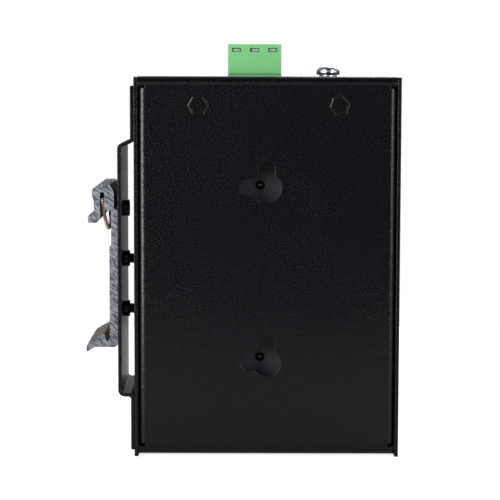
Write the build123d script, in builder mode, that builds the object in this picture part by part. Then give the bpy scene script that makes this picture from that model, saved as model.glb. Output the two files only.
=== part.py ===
"""Slim sheet-metal ethernet switch for a 35 mm rail, in millimetres.

X runs from the rail side (-) to the socket side (+), Y from the visible cover (-) to the
base shell (+), Z up. The origin is at the middle of the whole outline, on the lower edges
of the case walls.
"""

from build123d import *
import os

# Case
case_length = 72.6
case_height = 104.35
case_width = 30.0
sheet = 1.0
slip = 0.1
wall_drop = 0.2
foot_lift = 0.45
leg_bend = 2.4
wall_bend = 1.8
return_depth = 9.0
bend_relief = 0.8
return_inset = 3.5
leg_corner = 1.2

# Keyholes for hanging the case on two screws, each with one slot up and one to the rear
keyhole_pitch = 47.9
keyhole_middle = 50.4
keyhole_shift = -0.17
keyhole_diameter = 8.0
keyhole_slot = 4.5
keyhole_reach = 4.9

# Flat-head and pan-head M3 fasteners, drawn at their thread's outer diameter
thread_diameter = 3.0
thread_play = 0.05
screw_play = 0.2
flat_screw_length = 5.0
cross_width = 0.7
cross_depth = 0.8
nut_diameter = 6.3
nut_height = 1.5
nut_pilot_diameter = 4.2
nut_pilot_length = 0.8
front_screw_inset = 8.0
edge_screw_xs = (-26.0, 9.0)

# Rail bracket
bracket_width = 29.0
bracket_gap = 3.5
bracket_top = 101.75
bracket_shoulder = 86.5
bracket_web_top = 85.1
bracket_web_foot = 17.55
bracket_foot = 1.5
bracket_bend = 0.5
bracket_foot_bend = 0.8
bracket_corner = 1.5
burring_top = 67.6
burring_pitch = 14.17
burring_count = 3
burring_diameter = 4.7
burring_height = 1.4
burring_round = 0.3

# Rail clip: heights above the case's foot, widths from the rear wall's outer face
clip_width = 27.0
clip_reach = 13.3
clip_plate = 2.3
clip_thin_plate = 1.8
clip_step = 57.9
clip_plate_top = 68.1
clip_block_bottom = 67.83
clip_back_relief = 1.04
clip_back_cut_width = 1.15
clip_back_cut_height = 2.15
clip_top = 74.95
clip_edge = 0.3
clip_round = 0.5
clip_foot_round = 1.2
slot_near = 8.17
slot_far = 9.31
slot_top = 72.85
slot_round = 0.4
hook_bulge = 11.5
hook_crown_width = 1.75
hook_crown_height = 1.35
hook_bulge_bottom = 71.9
hook_waist = 70.5
hook_leg = 11.07
hook_leg_taper = 0.19
hook_seat = 66.95
hook_lip = 12.62
hook_lip_slope = 0.5
hook_tip = 64.45
hook_tip_cut_width = 0.99
hook_tip_cut_height = 1.25
hook_round = 1.2
rail_foot = 31.5
jaw_top = 33.35
jaw_undercut = 0.35
jaw_undercut_drop = 0.25
jaw_groove = 7.53
jaw_peak = 8.35
jaw_peak_rise = 2.4
jaw_shoulder = 12.75
jaw_shoulder_drop = 0.05
jaw_tip_top = 30.1
jaw_tip_bottom = 29.5
jaw_nose = 13.0
jaw_nose_height = 28.85
jaw_underside = 10.9
clip_base = 30.17
clip_screw_head = 5.6
clip_screw_tip_gap = 0.5
spring_diameter = 0.9
spring_sag_height = 61.95
spring_end_height = 71.0
spring_end_inset = 0.9
spring_lean = 0.6

# Circuit board and its standoffs
board_shift = 0.25
standoff_floor = 3.0
standoff_pitch = 38.5
standoff_top = 96.6
standoff_bottom = 7.6
standoff_barrel = 4.2
standoff_hexagon = 4.8
standoff_head = 0.7
standoff_foot = 0.5
hexagon_turns = (0.0, 12.0)
lower_standoff_x = (-19.5, -1.0)
board_thickness = 1.6
board_rear = 32.4
board_front = 32.4
board_bottom = 5.0
board_top = 100.5
board_corner = 1.5
board_screw_tip_gap = 0.6
pan_head_diameter = 5.5
pan_head_height = 2.0
pan_head_round = 0.65
film_thickness = 0.3
film_gap = 1.2
film_margin = 2.5
film_clearance = 0.4
rivet_shift = -1.68
rivet_rise = 0.1
rivet_dome = 1.3
rivet_dome_height = 0.9
rivet_dome_bow = 0.245
rivet_shank = 1.8
rivet_shoulder = 3.2
rivet_barb = 2.4
rivet_point = 1.2
rivet_tip = 1.2

# Earth screw, its washer and its nut
earth_x = 17.0
earth_y = 0.0
earth_thread = 3.5
earth_length = 5.0
earth_head_diameter = 6.45
earth_head_height = 2.2
earth_head_slope = 0.2
earth_head_round = 1.3
earth_slot = 0.65
earth_slot_depth = 1.3
earth_cross = 4.0
washer_diameter = 5.0
washer_thickness = 0.5
washer_split = 0.2
washer_split_angle = 30.0
earth_nut_diameter = 7.0

# Pluggable terminal
pole_pitch = 5.0
header_x = -3.46
header_width = 14.9
header_end = 2.45
header_height = 8.6
header_length = 12.0
header_rise = 0.5
header_wall = 0.9
header_floor = 2.0
header_clearance = 0.5
plug_play = 0.1
plug_side = 0.1
plug_lift = 0.25
plug_head = 8.1
plug_drop = 0.2
plug_height = 15.0
plug_insert = 9.6
pin_size = 1.0
pin_tail = 1.3
pin_stub = 1.0
pin_run = 8.0
pin_bend = 0.7
cage_width = 3.9
cage_depth = 5.4
cage_height = 5.0
cage_wall = 0.7
cage_lift = 0.5
cage_shift = 0.1
entry_width = 3.7
entry_height = 3.2
entry_corner = 0.8
driver_diameter = 3.7
clamp_screw_diameter = 2.8
clamp_screw_head = 3.5
clamp_screw_sink = 1.2
window_width = 2.6
window_height = 1.13
window_depth = 0.8
window_inset = 1.02
fork_blade = 0.4
fork_width = 2.0
fork_start = 1.1
key_width = 1.4
key_depth = 0.5

# Jacks, one below the other on the socket side
jack_count = 5
jack_pitch = 16.6
jack_first_z = 12.0
jack_width = 16.0
jack_height = 13.4
jack_depth = 21.3
jack_skin = 0.3
jack_gap = 0.1
jack_headroom = 4.0
socket_width = 11.8
socket_height = 6.8
socket_floor = 3.9
socket_depth = 14.0
latch_widths = (6.4, 3.3)
latch_steps = (1.6, 1.2)
lamp_width = 3.0
lamp_height = 1.7
lamp_depth = 5.0
lamp_inset = 0.9
window_border = 0.6
window_corner = 0.6
contact_count = 8
contact_pitch = 1.02
contact_wire = 0.35
contact_front = 3.2
contact_fold = 1.6
contact_rear = 13.5
contact_drop = 2.1
contact_tip_gap = 1.5
contact_tip_cut = 0.2
peg_diameter = 2.6
peg_pitch = 11.0
peg_setback = 9.0

# Power lamp
lamp_z = 94.0
lamp_rod_diameter = 3.0
lamp_rod_length = 6.0
lamp_rod_round = 0.2
lamp_body = 3.2
lamp_body_round = 0.8
lamp_lift = 2.0

# Parts on the board: middle across X and Z from the case's middle and foot, then their sizes
transformer_x = 9.0
transformer_size = (7.0, 5.9, 12.7)
switch_chip_place = (-9.0, 45.0)
switch_chip_size = (14.0, 1.4, 14.0)
crystal_place = (-9.0, 31.0)
crystal_size = (11.0, 3.6, 4.6)
memory_chip_place = (-22.0, 45.0)
memory_chip_size = (5.0, 1.6, 6.0)
converter_chip_place = (-12.0, 76.0)
converter_chip_size = (5.0, 1.7, 6.0)
inductor_place = (-24.0, 80.0)
inductor_size = (12.0, 7.0, 12.0)
fuse_place = (12.0, 89.5)
fuse_size = (7.4, 3.2, 5.0)
choke_place = (-5.0, 84.0)
choke_size = (9.0, 5.5, 7.0)
surge_diode_place = (-13.5, 85.5)
surge_diode_size = (4.6, 2.4, 3.6)
capacitor_places = ((-27.0, 64.0), (-26.0, 30.0), (-17.0, 22.0))
capacitor_diameter = 8.0
capacitor_height = 11.0
capacitor_groove = 1.2
capacitor_groove_depth = 0.4
capacitor_round = 0.5
part_edge = 0.2

# Planes that the sizes above fix
x_rear = (clip_reach - case_length) / 2
x_front = x_rear + case_length
x_mid = (x_rear + x_front) / 2
y_near = -case_width / 2
y_far = case_width / 2
wall_top = case_height - wall_drop
cover_length = case_length - 2 * sheet - 2 * slip
z_mid = (case_height + foot_lift) / 2
y_board = y_far - sheet - jack_headroom - jack_height
y_solder = y_board - board_thickness
standoff_reach = y_solder - y_near
standoff_bore_depth = standoff_reach - standoff_floor
board_screw_length = board_thickness + standoff_bore_depth - board_screw_tip_gap
board_mid = x_mid + board_shift
flat_head_diameter = thread_diameter + 2 * sheet
thread_radius = thread_diameter / 2
pilot_wall = (nut_pilot_diameter - thread_diameter) / 2
screw_row = wall_bend + nut_diameter / 2 + slip
screw_y = y_far - screw_row
keyhole_x = x_mid + keyhole_shift
keyhole_zs = [keyhole_middle + side * keyhole_pitch / 2 for side in (-1, 1)]
upper_standoffs = [(board_mid + side * standoff_pitch / 2, standoff_top) for side in (-1, 1)]
lower_standoffs = [(board_mid + x, standoff_bottom) for x in lower_standoff_x]
jack_zs = [jack_first_z + index * jack_pitch for index in range(jack_count)]
poles = 1 + int((header_width - 2 * header_end) / pole_pitch + slip)
pole_xs = [x_mid + header_x + (index - (poles - 1) / 2) * pole_pitch for index in range(poles)]
header_y = y_board + header_height / 2
header_top = case_height + header_rise
plug_width = header_width - 2 * plug_side
plug_shoulder = header_top + plug_lift
plug_top = plug_shoulder + plug_head
burring_zs = [burring_top - index * burring_pitch for index in range(burring_count)]
clip_screw_zs = burring_zs[1:]

# Seats of the flat-head screws, each plane facing out of the sheet that it lies flush in
front_seats = [
    Plane(origin=(x_front, -screw_y, z), z_dir=(1, 0, 0))
    for z in (front_screw_inset, wall_top - front_screw_inset)
]
top_seats = [
    Plane(origin=(x_mid + x, screw_y, case_height), z_dir=(0, 0, 1)) for x in edge_screw_xs
]
bottom_seats = [
    Plane(origin=(x_mid + x, screw_y, foot_lift), z_dir=(0, 0, -1)) for x in edge_screw_xs
]
bracket_screw_zs = [(bracket_top + bracket_shoulder) / 2, (bracket_web_foot + bracket_foot) / 2]
near_bracket_seats = [
    Plane(origin=(x_rear - sheet, -screw_y, z), z_dir=(-1, 0, 0)) for z in bracket_screw_zs
]
far_bracket_seats = [
    Plane(origin=(x_rear - sheet, screw_y, z), z_dir=(-1, 0, 0)) for z in bracket_screw_zs
]

os.makedirs("parts", exist_ok=True)


def bent_channel(web, leg, bend):
    """Section of a sheet bent to a U, its web on x = 0 and its legs towards +X."""
    with BuildSketch() as section:
        Rectangle(leg, web, align=(Align.MIN, Align.CENTER))
        fillet(section.vertices().group_by(Axis.X)[0], bend)
        offset(amount=-sheet, mode=Mode.SUBTRACT)
        with Locations((leg, 0)):
            Rectangle(
                2 * sheet, web - 2 * sheet, align=(Align.MAX, Align.CENTER), mode=Mode.SUBTRACT
            )
    return section.sketch


def flat_head_screw(head_diameter, length):
    """Countersunk screw with a cross recess, its head flush with z = 0."""
    head_radius = head_diameter / 2
    cone = head_radius - thread_radius
    with BuildPart() as screw:
        with BuildSketch(Plane.XZ):
            with BuildLine():
                Polyline(
                    (0, 0), (head_radius, 0), (thread_radius, -cone), (thread_radius, -length),
                    (0, -length), close=True,
                )
            make_face()
        revolve(axis=Axis.Z)
        with BuildSketch():
            Rectangle(thread_diameter, cross_width)
            Rectangle(cross_width, thread_diameter)
        extrude(amount=-cross_depth, mode=Mode.SUBTRACT)
    return screw.part


def clinch_nut(body_diameter, bore_diameter):
    """Round self-clinching nut under z = 0, its pilot collar reaching up into the sheet."""
    with BuildPart() as nut:
        Cylinder(body_diameter / 2, nut_height, align=(Align.CENTER, Align.CENTER, Align.MAX))
        Cylinder(
            bore_diameter / 2 + pilot_wall, nut_pilot_length,
            align=(Align.CENTER, Align.CENTER, Align.MIN),
        )
        with Locations((0, 0, nut_pilot_length)):
            Hole(bore_diameter / 2 + thread_play)
    return nut.part


def turned(plane, depth):
    """The plane moved down its own normal by depth."""
    return plane.offset(-depth)


# Cover shell: side plate and both legs in one bend line, then the two return flanges
cover_return_bottom = foot_lift + leg_bend + bend_relief
cover_return_top = case_height - leg_bend - bend_relief
with BuildPart() as cover_shell:
    across = Plane(origin=(x_mid - cover_length / 2, y_near, z_mid), x_dir=(0, 1, 0), z_dir=(1, 0, 0))
    with BuildSketch(across):
        add(bent_channel(case_height - foot_lift, case_width, leg_bend))
    extrude(amount=cover_length)
    fillet(
        cover_shell.edges().filter_by(Axis.Z).group_by(Axis.Y)[-1], leg_corner
    )
    with Locations(*[(x_mid + side * cover_length / 2, y_near, z_mid) for side in (-1, 1)]):
        Box(
            2 * wall_bend, 2 * sheet, cover_return_top - cover_return_bottom + 2 * bend_relief,
            mode=Mode.SUBTRACT,
        )
    upright = Plane(origin=(x_mid, y_near, cover_return_bottom), x_dir=(0, 1, 0), z_dir=(0, 0, 1))
    with BuildSketch(upright):
        add(bent_channel(cover_length, return_depth, wall_bend))
    extrude(amount=cover_return_top - cover_return_bottom)
    with BuildSketch(Plane.XZ.offset(-y_near)):
        for z in keyhole_zs:
            with Locations((keyhole_x, z)):
                Circle(keyhole_diameter / 2)
            with Locations((keyhole_x, z + keyhole_reach / 2)):
                SlotCenterToCenter(keyhole_reach, keyhole_slot, rotation=90)
            with Locations((keyhole_x - keyhole_reach / 2, z)):
                SlotCenterToCenter(keyhole_reach, keyhole_slot)
    extrude(amount=-sheet, mode=Mode.SUBTRACT)
    with BuildSketch(Plane.XZ.offset(-y_near)):
        for (x, z), turn in zip(upper_standoffs, hexagon_turns):
            with Locations((x, z)):
                RegularPolygon(standoff_hexagon / 2, 6, major_radius=False, rotation=turn)
    extrude(amount=-standoff_head, mode=Mode.SUBTRACT)
    with BuildSketch(Plane.XZ.offset(-y_near)):
        with Locations(*upper_standoffs):
            Circle(standoff_barrel / 2)
    extrude(amount=-sheet, mode=Mode.SUBTRACT)
    with BuildSketch(Plane.XZ.offset(-y_near - sheet)):
        with Locations(*lower_standoffs):
            Circle(standoff_barrel / 2)
    extrude(amount=standoff_foot, mode=Mode.SUBTRACT)
    with BuildSketch(Plane.XY.offset(case_height)):
        with Locations((x_mid + header_x, header_y)):
            Rectangle(header_width + 2 * header_clearance, header_height + 2 * header_clearance)
        with Locations((x_mid + earth_x, earth_y)):
            Circle(earth_thread / 2 + pilot_wall)
    extrude(amount=-sheet, mode=Mode.SUBTRACT)
    with Locations(*top_seats, *bottom_seats):
        CounterSinkHole(thread_radius + thread_play, flat_head_diameter / 2, sheet, 90)
    with Locations(*[turned(seat, sheet) for seat in front_seats]):
        Hole(nut_pilot_diameter / 2, 2 * sheet)
    with Locations(*[turned(seat, 2 * sheet) for seat in near_bracket_seats]):
        Hole(nut_pilot_diameter / 2, 2 * sheet)
cover_shell.part.label = "cover_shell"
export_step(cover_shell.part, "parts/cover_shell.step")

# Base shell: rear wall, far side plate and front wall, with returns under the cover's legs
far_plate_bottom = foot_lift + sheet
far_plate_top = case_height - sheet
return_length = case_length - 2 * return_inset
with BuildPart() as base_shell:
    with BuildSketch(Plane(origin=(x_mid, y_far, 0), x_dir=(0, -1, 0), z_dir=(0, 0, 1))):
        add(bent_channel(case_length, case_width, wall_bend))
    extrude(amount=wall_top)
    notch = wall_bend + slip
    with Locations((x_mid, y_far - notch, far_plate_top)):
        Box(case_length, notch, sheet, align=(Align.CENTER, Align.MIN, Align.MIN), mode=Mode.SUBTRACT)
    with Locations((x_mid, y_far - notch, 0)):
        Box(
            case_length, notch, far_plate_bottom,
            align=(Align.CENTER, Align.MIN, Align.MIN), mode=Mode.SUBTRACT,
        )
    for z, side in ((far_plate_top, Align.MAX), (far_plate_bottom, Align.MIN)):
        with Locations((x_mid, y_far, z)):
            Box(
                return_length + 2 * bend_relief, 2 * sheet, wall_bend,
                align=(Align.CENTER, Align.CENTER, side), mode=Mode.SUBTRACT,
            )
    along = Plane(
        origin=(x_mid - return_length / 2, y_far, (far_plate_top + far_plate_bottom) / 2),
        x_dir=(0, -1, 0), z_dir=(1, 0, 0),
    )
    with BuildSketch(along):
        add(bent_channel(far_plate_top - far_plate_bottom, return_depth, wall_bend))
    extrude(amount=return_length)
    with BuildSketch(Plane.YZ.offset(x_front)):
        with Locations(*[(y_board + jack_height / 2, z) for z in jack_zs]):
            RectangleRounded(jack_height - 2 * window_border, jack_width - 2 * window_border, window_corner)
        with Locations((y_board + lamp_lift, lamp_z)):
            Circle(lamp_rod_diameter / 2)
    extrude(amount=-sheet, mode=Mode.SUBTRACT)
    with Locations(*front_seats):
        CounterSinkHole(thread_radius + thread_play, flat_head_diameter / 2, sheet, 90)
    with Locations(*[turned(seat, sheet) for seat in top_seats + bottom_seats + far_bracket_seats]):
        Hole(nut_pilot_diameter / 2, sheet)
    with Locations(*[turned(seat, sheet) for seat in near_bracket_seats]):
        Hole(thread_radius + screw_play, sheet)
base_shell.part.label = "base_shell"
export_step(base_shell.part, "parts/base_shell.step")

# Case screws through the outer sheets and nuts clinched into the inner ones
with BuildPart() as case_screws:
    with Locations(*front_seats, *top_seats, *bottom_seats):
        add(flat_head_screw(flat_head_diameter, flat_screw_length))
case_screws.part.label = "case_screws"
export_step(case_screws.part, "parts/case_screws.step")

with BuildPart() as case_nuts:
    with Locations(*[turned(seat, 2 * sheet + slip) for seat in front_seats]):
        add(clinch_nut(nut_diameter, thread_diameter))
    with Locations(*[turned(seat, 2 * sheet) for seat in top_seats + bottom_seats]):
        add(clinch_nut(nut_diameter, thread_diameter))
case_nuts.part.label = "case_nuts"
export_step(case_nuts.part, "parts/case_nuts.step")

# Rail bracket: one strip of sheet, joggled out at the top and square at the bottom
side_view = Plane(origin=(x_rear, 0, 0), x_dir=(-1, 0, 0), z_dir=(0, 1, 0))
with BuildPart() as rail_bracket:
    with BuildSketch(side_view):
        with BuildLine():
            FilletPolyline(
                (0, bracket_top), (0, bracket_shoulder), (bracket_gap, bracket_web_top),
                (bracket_gap, bracket_web_foot), (0, bracket_web_foot), (0, bracket_foot),
                radius=[
                    bracket_bend + sheet, bracket_bend, bracket_foot_bend, bracket_foot_bend + sheet,
                ],
            )
            offset(amount=sheet, side=Side.LEFT)
        make_face()
    extrude(amount=bracket_width / 2, both=True)
    ends = rail_bracket.edges().filter_by(Axis.X).group_by(Axis.Z)
    fillet(ends[0] + ends[-1], bracket_corner)
    web_face = Plane(origin=(x_rear - bracket_gap, 0, 0), x_dir=(0, 1, 0), z_dir=(1, 0, 0))
    with BuildSketch(web_face):
        with Locations(*[(0, z) for z in burring_zs]):
            Circle(burring_diameter / 2)
    extrude(amount=burring_height)
    fillet(
        rail_bracket.edges().filter_by(GeomType.CIRCLE).filter_by(
            lambda edge: abs(edge.center().X - (x_rear - bracket_gap + burring_height)) < slip
        ),
        burring_round,
    )
    with Locations(*[web_face.offset(burring_height) * Location((0, z, 0)) for z in burring_zs]):
        Hole(thread_radius + thread_play, burring_height + sheet)
    with Locations(*near_bracket_seats, *far_bracket_seats):
        CounterSinkHole(thread_radius + thread_play, flat_head_diameter / 2, sheet, 90)
rail_bracket.part.label = "rail_bracket"
export_step(rail_bracket.part, "parts/rail_bracket.step")

# Bracket screws and the nuts behind the rear wall and behind the cover's return
with BuildPart() as bracket_screws:
    with Locations(*near_bracket_seats, *far_bracket_seats):
        add(flat_head_screw(flat_head_diameter, flat_screw_length))
bracket_screws.part.label = "bracket_screws"
export_step(bracket_screws.part, "parts/bracket_screws.step")

with BuildPart() as bracket_nuts:
    with Locations(*[turned(seat, 3 * sheet + slip) for seat in near_bracket_seats]):
        add(clinch_nut(nut_diameter, thread_diameter))
    with Locations(*[turned(seat, 2 * sheet) for seat in far_bracket_seats]):
        add(clinch_nut(nut_diameter, thread_diameter))
bracket_nuts.part.label = "bracket_nuts"
export_step(bracket_nuts.part, "parts/bracket_nuts.step")

# Rail clip: extruded section with a slotted hook above and a grooved lip below for a 35 mm rail
plate_back = bracket_gap + sheet
plate_face = plate_back + clip_plate
thin_face = plate_back + clip_thin_plate
block_back = plate_back + clip_back_relief
clip_outline = [
    (plate_back, clip_base, clip_foot_round),
    (plate_back, clip_plate_top, clip_edge),
    (block_back, clip_plate_top, clip_edge),
    (block_back, clip_top - clip_back_cut_height, clip_edge),
    (block_back + clip_back_cut_width, clip_top, clip_round),
    (hook_bulge - hook_crown_width, clip_top, hook_round),
    (hook_bulge, clip_top - hook_crown_height, hook_round),
    (hook_bulge, hook_bulge_bottom, hook_round),
    (hook_leg, hook_waist, hook_round),
    (hook_leg - hook_leg_taper, hook_seat, clip_edge),
    (hook_lip, hook_seat - hook_lip_slope, clip_round),
    (hook_lip, hook_tip, clip_edge),
    (slot_far + hook_tip_cut_width, hook_tip, clip_edge),
    (slot_far, hook_tip + hook_tip_cut_height, clip_edge),
    (slot_far, slot_top, slot_round),
    (slot_near, slot_top, slot_round),
    (slot_near, clip_block_bottom, clip_edge),
    (thin_face, clip_block_bottom, clip_edge),
    (thin_face, clip_step, clip_edge / 2),
    (plate_face, clip_step, clip_edge / 2),
    (plate_face, jaw_top, clip_edge / 2),
    (plate_face - jaw_undercut, jaw_top - jaw_undercut_drop, clip_edge / 2),
    (jaw_groove, rail_foot, clip_edge),
    (jaw_peak, rail_foot + jaw_peak_rise, clip_round),
    (jaw_shoulder, rail_foot - jaw_shoulder_drop, clip_round),
    (clip_reach, jaw_tip_top, clip_round),
    (clip_reach, jaw_tip_bottom, clip_round),
    (jaw_nose, jaw_nose_height, clip_edge / 2),
    (jaw_underside, clip_base, clip_edge),
]
with BuildPart() as rail_clip:
    with BuildSketch(side_view):
        with BuildLine():
            FilletPolyline(
                *[(across, height) for across, height, radius in clip_outline],
                radius=[radius for across, height, radius in clip_outline], close=True,
            )
        make_face()
    extrude(amount=clip_width / 2, both=True)
    clip_face = Plane(origin=(x_rear - plate_face, 0, 0), x_dir=(0, -1, 0), z_dir=(-1, 0, 0))
    with Locations(*[clip_face * Location((0, z, 0)) for z in clip_screw_zs]):
        CounterSinkHole(thread_radius + thread_play, clip_screw_head / 2, clip_plate, 90)
rail_clip.part.label = "rail_clip"
export_step(rail_clip.part, "parts/rail_clip.step")

# Clip screws, flush in the clip, through the web and its burrings
clip_screw_length = plate_face - clip_screw_tip_gap
with BuildPart() as clip_screws:
    with Locations(*[clip_face * Location((0, z, 0)) for z in clip_screw_zs]):
        add(flat_head_screw(clip_screw_head, clip_screw_length))
clip_screws.part.label = "clip_screws"
export_step(clip_screws.part, "parts/clip_screws.step")

# Clip spring: a close-wound coil, drawn as its outer form, bowed down and towards the plate
with BuildPart() as clip_spring:
    spring_x = x_rear - slot_far + spring_diameter / 2
    end_y = clip_width / 2 - spring_end_inset
    with BuildLine() as bow:
        ThreePointArc(
            (spring_x, -end_y, spring_end_height),
            (spring_x + spring_lean, 0, spring_sag_height),
            (spring_x, end_y, spring_end_height),
        )
    with BuildSketch(Plane(origin=bow.line @ 0, z_dir=bow.line % 0)):
        Circle(spring_diameter / 2)
    sweep(path=bow.line)
clip_spring.part.label = "clip_spring"
export_step(clip_spring.part, "parts/clip_spring.step")

# Earth screw: slotted pan head, split spring washer and clinch nut under the top leg
head_seat = case_height + washer_thickness
earth_section = Plane(origin=(x_mid + earth_x, earth_y, head_seat), x_dir=(1, 0, 0), z_dir=(0, -1, 0))
with BuildPart() as earth_screw:
    with BuildSketch(earth_section):
        with BuildLine():
            head = FilletPolyline(
                (earth_head_diameter / 2, 0),
                (earth_head_diameter / 2, earth_head_height - earth_head_slope),
                (0, earth_head_height), radius=earth_head_round,
            )
            Polyline(
                head @ 1, (0, -earth_length), (earth_thread / 2, -earth_length),
                (earth_thread / 2, 0), head @ 0,
            )
        make_face()
    revolve(axis=Axis((x_mid + earth_x, earth_y, 0), (0, 0, 1)))
    with BuildSketch(Plane.XY.offset(head_seat + earth_head_height)):
        with Locations((x_mid + earth_x, earth_y)):
            Rectangle(earth_slot, earth_head_diameter)
            Rectangle(earth_cross, earth_slot)
    extrude(amount=-earth_slot_depth, mode=Mode.SUBTRACT)
earth_screw.part.label = "earth_screw"
export_step(earth_screw.part, "parts/earth_screw.step")

with BuildPart() as earth_washer:
    with BuildSketch(Plane.XY.offset(case_height)):
        with Locations((x_mid + earth_x, earth_y)):
            Circle(washer_diameter / 2)
            Circle(earth_thread / 2 + slip, mode=Mode.SUBTRACT)
    extrude(amount=washer_thickness)
    split_at = (x_mid + earth_x, earth_y - washer_diameter / 2, case_height + washer_thickness / 2)
    with Locations(Location(split_at, (0, washer_split_angle, 0))):
        Box(washer_split, washer_diameter / 2, 2 * washer_thickness, mode=Mode.SUBTRACT)
earth_washer.part.label = "earth_washer"
export_step(earth_washer.part, "parts/earth_washer.step")

with BuildPart() as earth_nut:
    with Locations((x_mid + earth_x, earth_y, case_height - sheet)):
        add(clinch_nut(earth_nut_diameter, earth_thread))
earth_nut.part.label = "earth_nut"
export_step(earth_nut.part, "parts/earth_nut.step")

# Circuit board, upright beside the cover's side plate
jack_face_x = x_front - sheet - jack_gap
peg_x = jack_face_x - peg_setback
header_bottom = header_top - header_length
pin_row_z = header_bottom - pin_tail
with BuildPart() as circuit_board:
    with BuildSketch(Plane.XZ.offset(-y_board)):
        with Locations((x_mid + (board_front - board_rear) / 2, (board_top + board_bottom) / 2)):
            RectangleRounded(board_front + board_rear, board_top - board_bottom, board_corner)
        with Locations(*upper_standoffs, *lower_standoffs):
            Circle(thread_radius + screw_play, mode=Mode.SUBTRACT)
        with Locations(*[(keyhole_x + rivet_shift, z + rivet_rise) for z in keyhole_zs]):
            Circle(rivet_shank / 2 + thread_play, mode=Mode.SUBTRACT)
        with Locations(*[(peg_x, z + side * peg_pitch / 2) for z in jack_zs for side in (-1, 1)]):
            Circle(peg_diameter / 2 + thread_play, mode=Mode.SUBTRACT)
        with Locations(*[(x, pin_row_z) for x in pole_xs]):
            Rectangle(pin_size + slip, pin_size + slip, mode=Mode.SUBTRACT)
    extrude(amount=board_thickness)
circuit_board.part.label = "circuit_board"
export_step(circuit_board.part, "parts/circuit_board.step")

# Standoffs: two with hexagon heads flush in the side plate, two seated in blind pockets
with BuildPart() as board_standoffs:
    for (x, z), turn in zip(upper_standoffs, hexagon_turns):
        with BuildSketch(Plane.XZ.offset(-y_near)):
            with Locations((x, z)):
                RegularPolygon(standoff_hexagon / 2, 6, major_radius=False, rotation=turn)
        extrude(amount=-standoff_head)
    with BuildSketch(Plane.XZ.offset(-y_solder)):
        with Locations(*upper_standoffs):
            Circle(standoff_barrel / 2)
    extrude(amount=standoff_reach - standoff_head)
    with BuildSketch(Plane.XZ.offset(-y_solder)):
        with Locations(*lower_standoffs):
            Circle(standoff_barrel / 2)
    extrude(amount=standoff_reach - sheet + standoff_foot)
    with BuildSketch(Plane.XZ.offset(-y_solder)):
        with Locations(*upper_standoffs, *lower_standoffs):
            Circle(thread_radius + thread_play)
    extrude(amount=standoff_bore_depth, mode=Mode.SUBTRACT)
board_standoffs.part.label = "board_standoffs"
export_step(board_standoffs.part, "parts/board_standoffs.step")

with BuildPart() as board_screws:
    seats = upper_standoffs + lower_standoffs
    with BuildSketch(Plane.XZ.offset(-y_board - pan_head_height)):
        with Locations(*seats):
            Circle(pan_head_diameter / 2)
    extrude(amount=pan_head_height)
    fillet(board_screws.edges().group_by(Axis.Y)[-1], pan_head_round)
    with BuildSketch(Plane.XZ.offset(-y_board)):
        with Locations(*seats):
            Circle(thread_radius)
    extrude(amount=board_screw_length)
board_screws.part.label = "board_screws"
export_step(board_screws.part, "parts/board_screws.step")

# Insulating film over the solder side, held off it by the shoulders of two push rivets
y_film = y_solder - film_gap
rivet_places = [(keyhole_x + rivet_shift, z + rivet_rise) for z in keyhole_zs]
with BuildPart() as insulating_film:
    with BuildSketch(Plane.XZ.offset(-y_film)):
        with Locations((x_mid + (board_front - board_rear) / 2, (board_top + board_bottom) / 2)):
            RectangleRounded(
                board_front + board_rear - 2 * film_margin,
                board_top - board_bottom - 2 * film_margin, board_corner,
            )
        with Locations(*upper_standoffs, *lower_standoffs):
            Circle(standoff_barrel / 2 + film_clearance, mode=Mode.SUBTRACT)
        with Locations(*rivet_places):
            Circle(rivet_shank / 2 + thread_play, mode=Mode.SUBTRACT)
    extrude(amount=film_thickness)
insulating_film.part.label = "insulating_film"
export_step(insulating_film.part, "parts/insulating_film.step")

with BuildPart() as film_rivets:
    for x, z in rivet_places:
        with BuildSketch(Plane(origin=(x, y_film, z), x_dir=(1, 0, 0), z_dir=(0, 0, 1))):
            with BuildLine():
                dome = SagittaArc(
                    (0, -film_thickness - rivet_dome_height), (rivet_dome, -film_thickness),
                    -rivet_dome_bow,
                )
                Polyline(
                    dome @ 1, (rivet_shank / 2, -film_thickness), (rivet_shank / 2, 0),
                    (rivet_shoulder / 2, 0), (rivet_shoulder / 2, film_gap),
                    (rivet_shank / 2, film_gap), (rivet_shank / 2, film_gap + board_thickness),
                    (rivet_barb / 2, film_gap + board_thickness),
                    (rivet_point / 2, film_gap + board_thickness + rivet_tip),
                    (0, film_gap + board_thickness + rivet_tip), dome @ 0,
                )
            make_face()
        revolve(axis=Axis((x, 0, z), (0, 1, 0)))
film_rivets.part.label = "film_rivets"
export_step(film_rivets.part, "parts/film_rivets.step")

# Terminal header: a shroud lying on the board, its mouth out through the top leg
header_sketch_at = Plane.XY.offset(header_bottom)
cavity_width = header_width - 2 * header_wall
cavity_height = header_height - 2 * header_wall
with BuildPart() as terminal_header:
    with BuildSketch(header_sketch_at):
        with Locations((x_mid + header_x, header_y)):
            Rectangle(header_width, header_height)
    extrude(amount=header_length)
    with BuildSketch(header_sketch_at.offset(header_floor)):
        with Locations((x_mid + header_x, header_y)):
            Rectangle(cavity_width, cavity_height)
        with Locations(*[(x, header_y + cavity_height / 2) for x in pole_xs]):
            Rectangle(key_width, 2 * key_depth)
    extrude(amount=header_length, mode=Mode.SUBTRACT)
    with BuildSketch(header_sketch_at):
        with Locations(*[(x, header_y) for x in pole_xs]):
            Rectangle(pin_size, pin_size)
    extrude(amount=header_floor, mode=Mode.SUBTRACT)
terminal_header.part.label = "terminal_header"
export_step(terminal_header.part, "parts/terminal_header.step")

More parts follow.
